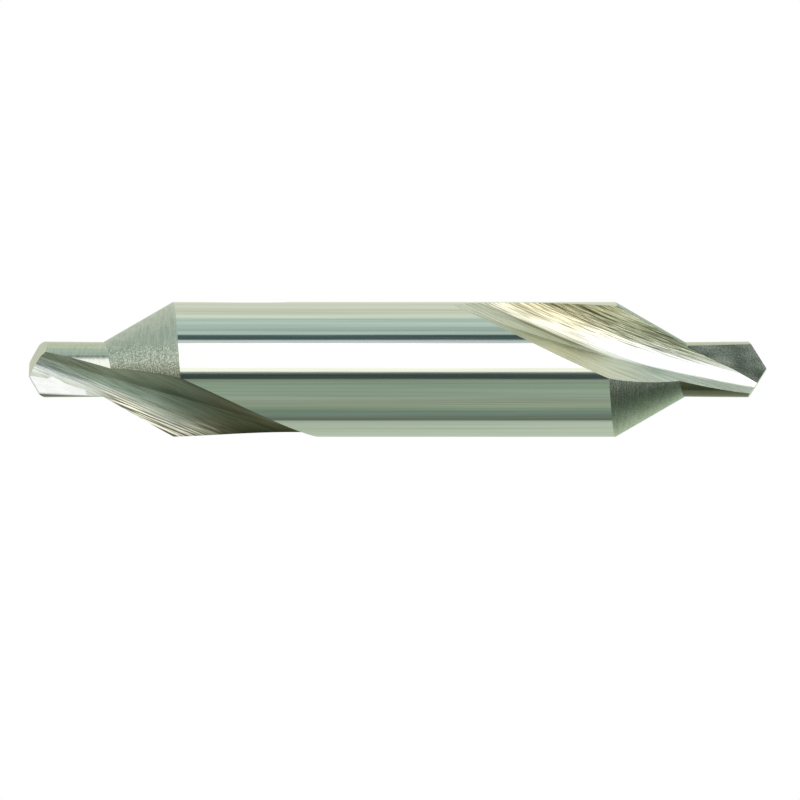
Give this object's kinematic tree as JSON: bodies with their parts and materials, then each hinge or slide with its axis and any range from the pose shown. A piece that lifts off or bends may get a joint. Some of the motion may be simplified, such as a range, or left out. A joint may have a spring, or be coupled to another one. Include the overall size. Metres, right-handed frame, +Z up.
{
  "type": "centre drill",
  "caption": "Double-ended centre drill: round ground bar with a short pilot, a relieved 60 degree countersink and ground flutes at each end.",
  "frame": {"origin": "middle of the drill, on its axis, half way between the two tips", "axes": "+X along the drill's axis towards one of its two alike ends, +Z up and -Y towards the viewer as in the picture, where the right end's countersink flute faces the viewer"},
  "size_m": [0.0546, 0.01, 0.01],
  "materials": {
    "ground_steel": "ground bright high-speed steel, with fine grinding lines in the flutes"
  },
  "bodies": {
    "root": {"centre_drill": "ground_steel"}
  },
  "joints": []
}
